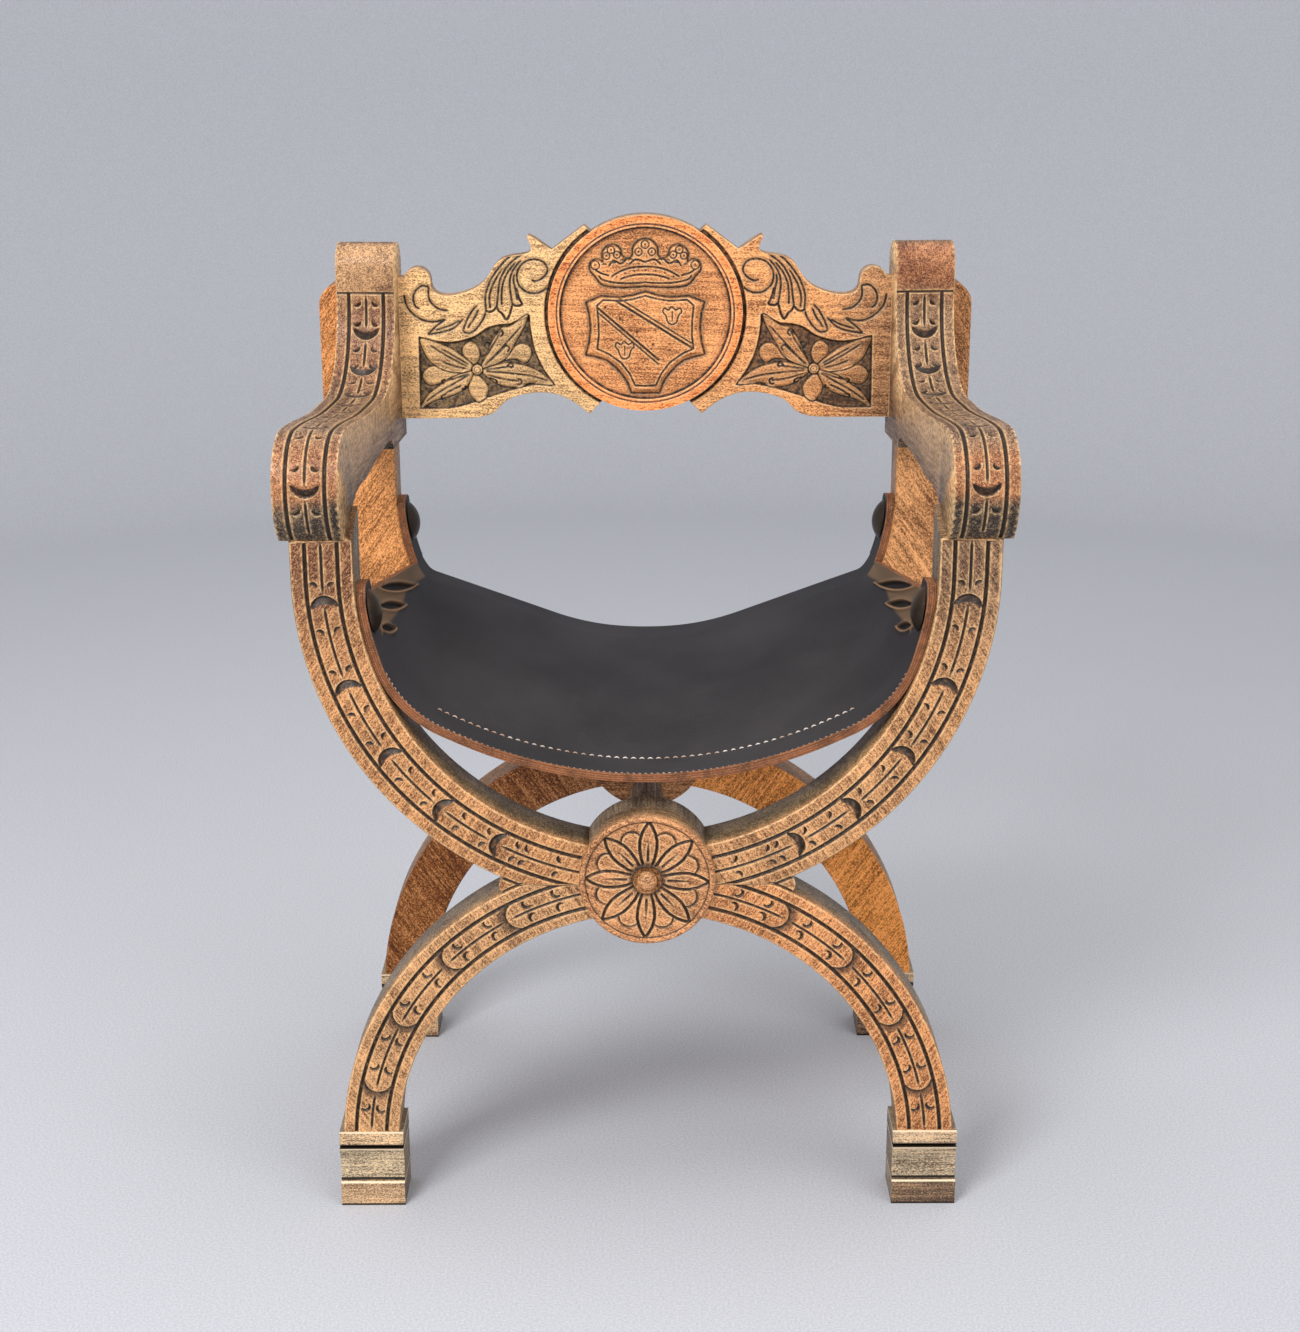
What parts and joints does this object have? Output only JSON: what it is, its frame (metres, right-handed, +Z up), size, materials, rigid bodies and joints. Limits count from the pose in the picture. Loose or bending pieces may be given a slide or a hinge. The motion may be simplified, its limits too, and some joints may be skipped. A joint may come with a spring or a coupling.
{
  "type": "savonarola armchair",
  "caption": "Carved wooden armchair with curved X-shaped front and rear frames, scrolled armrests, a carved back board and a leather sling seat.",
  "frame": {"origin": "middle of the chair's bounding box, at floor level", "axes": "+X towards the right as seen from in front of the chair, -Y towards the front, +Z up"},
  "size_m": [0.65, 0.434, 0.8915],
  "materials": {
    "carved_wood": "waxed, worn, dark in the cuts",
    "plain_wood": "worn, dull",
    "dowel_wood": "raw",
    "seat_leather": "smooth, dull black",
    "seat_lining": "rough side out",
    "seat_stud": "darkened, worn",
    "screw_steel": "dull"
  },
  "bodies": {
    "root": {"front_left_rib": "carved_wood", "front_left_leg": "carved_wood", "front_left_foot": "plain_wood", "front_left_seat_stud": "seat_stud", "front_right_rib": "carved_wood", "front_right_leg": "carved_wood", "front_right_foot": "plain_wood", "front_right_seat_stud": "seat_stud", "front_hub": "plain_wood", "front_rosette": "carved_wood", "front_button": "carved_wood", "front_hub_screw": "screw_steel", "front_hub_dowels": "dowel_wood", "rear_left_rib": "plain_wood", "rear_left_leg": "plain_wood", "rear_left_foot": "plain_wood", "rear_left_seat_stud": "seat_stud", "rear_right_rib": "plain_wood", "rear_right_leg": "plain_wood", "rear_right_foot": "plain_wood", "rear_right_seat_stud": "seat_stud", "rear_hub": "plain_wood", "rear_rosette": "carved_wood", "rear_button": "carved_wood", "rear_hub_screw": "screw_steel", "rear_hub_dowels": "dowel_wood", "left_armrest": "carved_wood", "left_armrest_screws": "screw_steel", "left_board_dowels": "dowel_wood", "right_armrest": "carved_wood", "right_armrest_screws": "screw_steel", "right_board_dowels": "dowel_wood", "armrest_dowels": "dowel_wood", "foot_dowels": "dowel_wood", "centre_stretcher": "plain_wood", "back_board": "carved_wood", "seat_leather": "seat_leather", "seat_lining": "seat_lining"}
  },
  "joints": []
}
